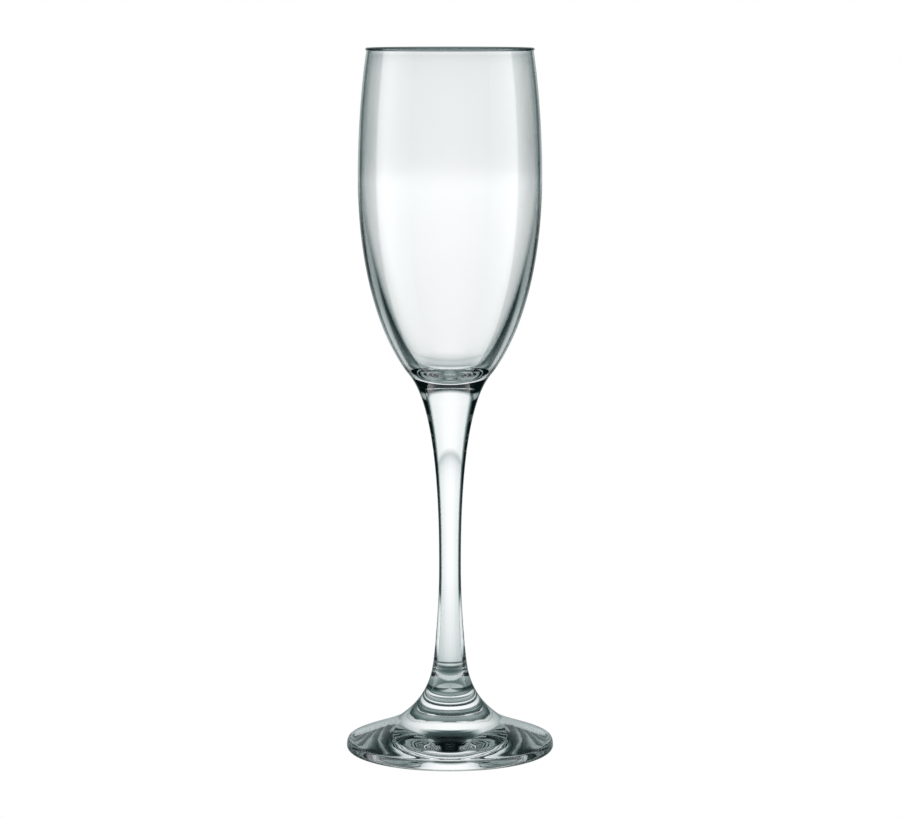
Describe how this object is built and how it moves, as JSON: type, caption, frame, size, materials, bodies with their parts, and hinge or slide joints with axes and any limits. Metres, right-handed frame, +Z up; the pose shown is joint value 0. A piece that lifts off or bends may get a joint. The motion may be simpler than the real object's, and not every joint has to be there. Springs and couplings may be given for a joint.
{
  "type": "champagne flute",
  "caption": "Tall clear-glass champagne flute: slim tulip bowl with a beaded rim, waisted solid stem and a trumpet foot spreading into a round disc.",
  "frame": {"origin": "centre of the ring on which the foot stands, at table height", "axes": "+Z up along the stem and bowl axis, towards the rim; +X and +Y level, all directions alike"},
  "size_m": [0.0666, 0.0666, 0.225],
  "materials": {
    "bowl_glass": "clear, fire-polished soda-lime glass",
    "stem_glass": "clear, smooth drawn soda-lime glass",
    "foot_glass": "clear pressed soda-lime glass with faint ripples beneath"
  },
  "bodies": {
    "root": {"bowl": "bowl_glass", "stem": "stem_glass", "foot": "foot_glass"}
  },
  "joints": []
}
